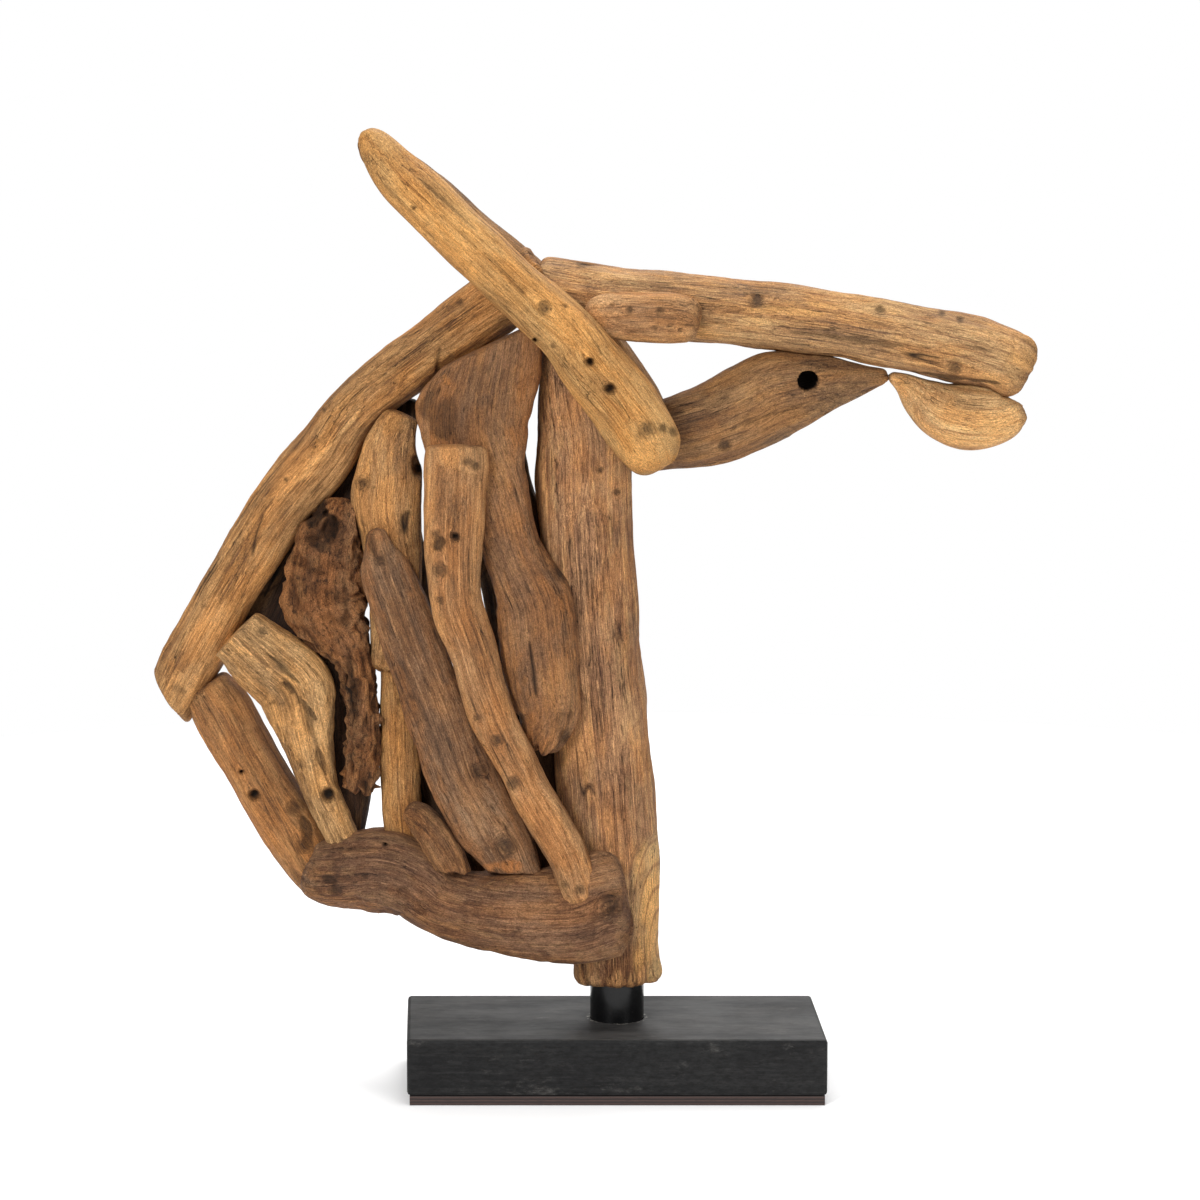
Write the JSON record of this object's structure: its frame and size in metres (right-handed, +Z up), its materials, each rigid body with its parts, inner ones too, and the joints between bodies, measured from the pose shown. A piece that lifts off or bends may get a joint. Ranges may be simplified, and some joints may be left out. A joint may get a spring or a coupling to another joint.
{
  "type": "wooden horse sculpture",
  "caption": "Abstract horse's head joined from weathered teak logs and slats, held up by a black steel post on a black wooden base.",
  "frame": {"origin": "on the underside of the base, below the axis of the steel post", "axes": "+Z up, +X the way the horse looks, -Y the side of its left cheek"},
  "size_m": [0.7221, 0.1514, 0.799],
  "materials": {
    "pale_teak": "sanded pale old teak",
    "golden_teak": "sanded golden teak",
    "brown_teak": "weathered brown teak",
    "grey_teak": "grey-brown eroded teak",
    "red_teak": "dark reddish root wood",
    "plywood": "dark stained plywood",
    "black_paint": "matt black paint",
    "black_steel": "gloss black paint"
  },
  "bodies": {
    "root": {"throat_post": "brown_teak", "nose_log": "golden_teak", "crest_log": "brown_teak", "jaw_log": "brown_teak", "lip_block": "pale_teak", "brow_block": "golden_teak", "ear_front": "pale_teak", "ear_back": "golden_teak", "chest_log": "brown_teak", "shoulder_log": "brown_teak", "root_slab": "red_teak", "elbow_branch": "brown_teak", "diagonal_slat": "grey_teak", "broad_slab": "grey_teak", "bent_slat": "golden_teak", "paddle_slat": "golden_teak", "pale_slat": "pale_teak", "foot_wedge": "golden_teak", "back_broad_slat": "brown_teak", "back_middle_slat": "grey_teak", "back_short_slat": "grey_teak", "back_upper_slat": "red_teak", "base_foot": "plywood", "base_block": "black_paint", "steel_post": "black_steel"}
  },
  "joints": []
}
